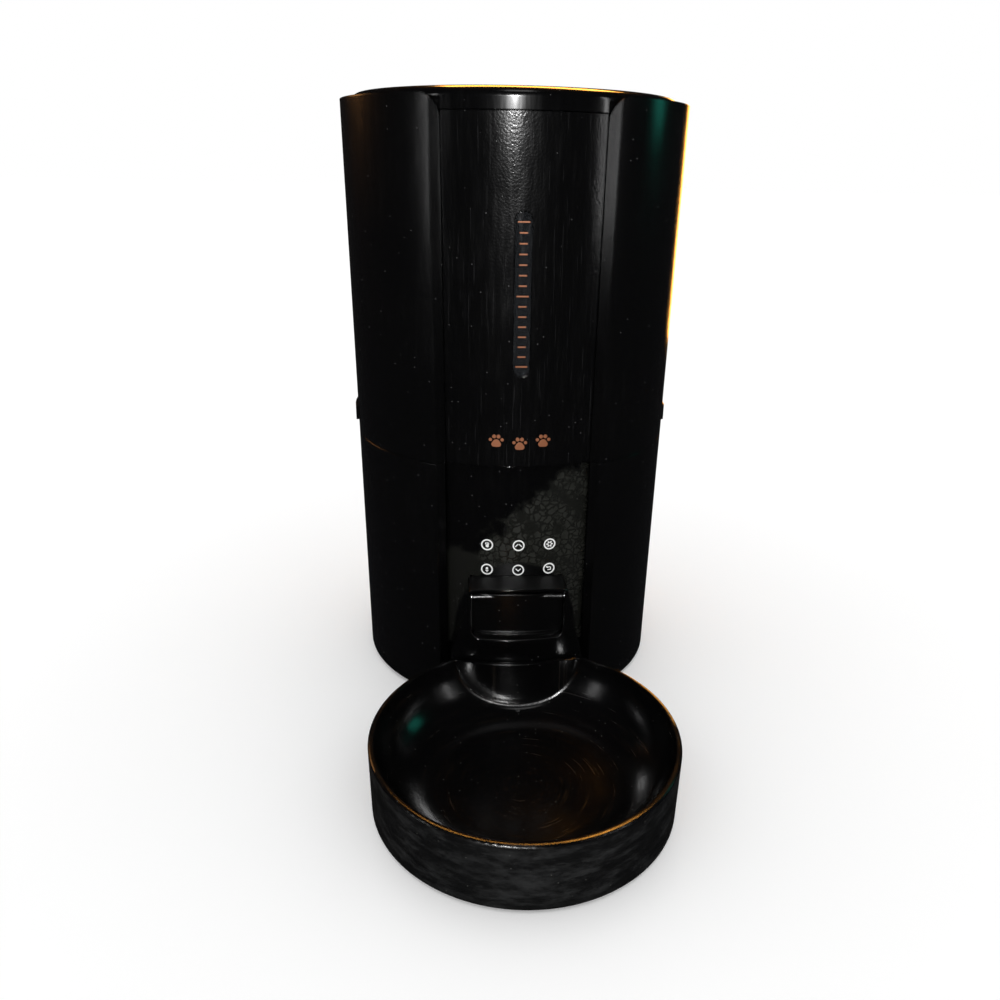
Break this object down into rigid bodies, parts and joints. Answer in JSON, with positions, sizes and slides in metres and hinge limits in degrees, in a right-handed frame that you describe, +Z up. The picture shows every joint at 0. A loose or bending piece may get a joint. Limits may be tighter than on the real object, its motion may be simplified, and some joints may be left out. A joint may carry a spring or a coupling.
{
  "type": "automatic pet feeder",
  "caption": "Automatic dry-food feeder: lift-off tank with lid and level window on a motor base with touch panel, hinged outlet flap and a removable round bowl.",
  "frame": {"origin": "on the floor under the middle of the whole feeder, bowl included", "axes": "+Z up, front (bowl side) towards -Y, +X to the right as seen from behind the bowl facing the feeder"},
  "size_m": [0.2, 0.3535, 0.3502],
  "materials": {
    "body_satin": "fine satin black ABS",
    "panel_texture": "fine-grained black ABS",
    "gloss_black": "polished black ABS",
    "window_clear": "smoky clear polycarbonate",
    "copper_print": "copper-coloured print",
    "white_print": "white print",
    "inner_grey": "dark grey moulding",
    "silicone": "translucent grey silicone",
    "rubber_black": "black rubber",
    "steel": "zinc-plated steel",
    "motor_can": "plated motor can",
    "pcb": "green circuit board",
    "chips": "black component bodies",
    "display_dark": "switched-off display",
    "film": "amber touch film",
    "cell_jacket": "plain grey cell jacket",
    "nickel": "nickel plate",
    "sachet": "white paper desiccant bag",
    "speaker_black": "black paper cone and frame"
  },
  "bodies": {
    "base": {"base_housing": "body_satin", "base_deck": "inner_grey", "deck_screws": "steel", "shaft_seal": "silicone", "base_plate": "body_satin", "base_screws": "steel", "rubber_feet": "rubber_black", "control_panel": "gloss_black", "touch_icons": "white_print", "touch_film": "film", "display_module": "display_dark", "touch_board": "pcb", "microphone": "nickel", "fill_sensors": "chips", "motor_bracket": "inner_grey", "motor_screws": "steel", "gearbox": "motor_can", "motor": "motor_can", "main_board": "pcb", "board_screws": "steel", "board_components": "chips", "chute": "inner_grey", "outlet_hood": "gloss_black", "flap_pin": "steel", "speaker": "speaker_black", "power_inlet": "nickel", "battery_box": "inner_grey", "battery_cells": "cell_jacket", "battery_contacts": "nickel", "battery_springs": "nickel"},
    "tank": {"tank_housing": "body_satin", "front_panel": "panel_texture", "level_window": "window_clear", "level_marks": "copper_print", "paw_emblem": "copper_print", "tank_floor": "inner_grey", "tank_screws": "steel", "hopper_funnel": "inner_grey", "drop_baffle": "inner_grey", "release_spring_left": "steel", "release_spring_right": "steel"},
    "lid": {"lid_cover": "gloss_black", "lid_inner_plate": "inner_grey", "lid_seal": "silicone", "desiccant_box": "inner_grey", "desiccant_bag": "sachet"},
    "sachet_cap": {"desiccant_cap": "inner_grey"},
    "button_left": {"release_button_left": "body_satin"},
    "button_right": {"release_button_right": "body_satin"},
    "rotor": {"portion_rotor": "silicone", "stirrer": "inner_grey"},
    "drive": {"drive_shaft": "steel", "drive_coupler": "inner_grey"},
    "flap": {"outlet_flap": "panel_texture"},
    "door": {"battery_door": "body_satin"},
    "bowl": {"bowl": "gloss_black", "bowl_pads": "rubber_black"}
  },
  "joints": [
    {"name": "tank_lift", "type": "slide", "parent": "base", "child": "tank", "axis": [0, 0, 1], "range_m": [0, 0.06]},
    {"name": "lid_lift", "type": "slide", "parent": "tank", "child": "lid", "axis": [0, 0, 1], "range_m": [0, 0.06]},
    {"name": "sachet_cap_pull", "type": "slide", "parent": "lid", "child": "sachet_cap", "axis": [0, 0, -1], "range_m": [0, 0.03]},
    {"name": "release_left", "type": "slide", "parent": "tank", "child": "button_left", "axis": [1, 0, 0], "range_m": [0, 0.0025], "stiffness_N_per_m": 900, "deforming": ["release_spring_left"]},
    {"name": "release_right", "type": "slide", "parent": "tank", "child": "button_right", "axis": [-1, 0, 0], "range_m": [0, 0.0025], "stiffness_N_per_m": 900, "deforming": ["release_spring_right"]},
    {"name": "drive_spin", "type": "hinge", "parent": "base", "child": "drive", "pos_m": [0, 0.07675, 0.15], "axis": [0, 0, 1], "continuous": true},
    {"name": "rotor_spin", "type": "hinge", "parent": "tank", "child": "rotor", "pos_m": [0, 0.07675, 0.17], "axis": [0, 0, 1], "continuous": true},
    {"name": "flap_swing", "type": "hinge", "parent": "base", "child": "flap", "pos_m": [0, -0.02385, 0.0793], "axis": [-1, 0, 0], "range_deg": [0, 70]},
    {"name": "door_release", "type": "slide", "parent": "base", "child": "door", "axis": [0, 0, -1], "range_m": [0, 0.03]},
    {"name": "bowl_pull", "type": "slide", "parent": "base", "child": "bowl", "axis": [0, -1, 0], "range_m": [0, 0.12]}
  ],
  "couplings": [
    {"joint": "drive_spin", "follows": "rotor_spin", "ratio": 1}
  ]
}
